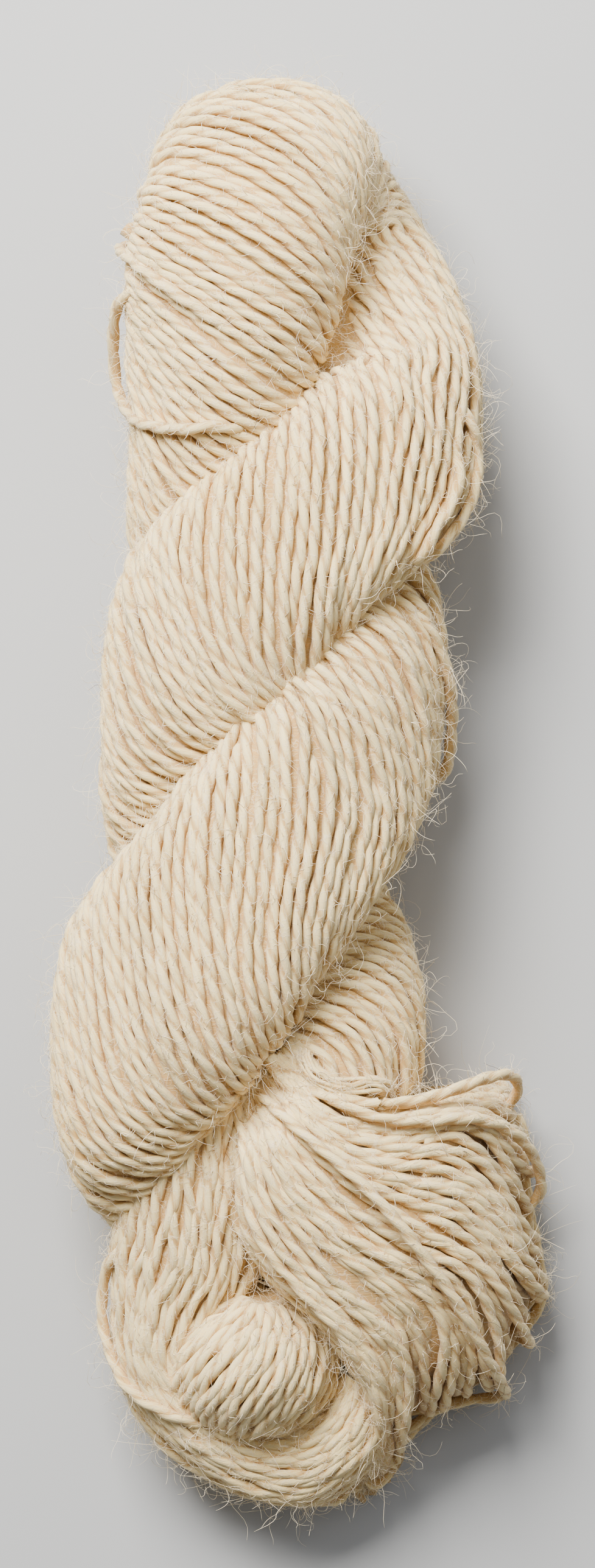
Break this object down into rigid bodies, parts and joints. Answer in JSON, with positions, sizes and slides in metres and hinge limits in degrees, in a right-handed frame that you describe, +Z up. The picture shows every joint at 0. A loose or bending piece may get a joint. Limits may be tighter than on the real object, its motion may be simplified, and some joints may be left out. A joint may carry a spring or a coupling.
{
  "type": "twisted hank of semi-worsted wool yarn",
  "caption": "Hank of undyed cream two-ply wool yarn, twisted and folded on itself, its end loop opened as a fan round a tucked knob.",
  "frame": {"origin": "centre of the hank's outline seen from above, on the surface it rests on", "axes": "+Y along the hank, from its open end loop to its fold; +Z up, away from the surface; +X to the right of the hank, where its fan spreads"},
  "size_m": [0.0914, 0.2614, 0.0502],
  "materials": {
    "wool": "soft undyed wool with a halo of fine fibres, no shine"
  },
  "bodies": {
    "root": {"hank": "wool"}
  },
  "joints": []
}
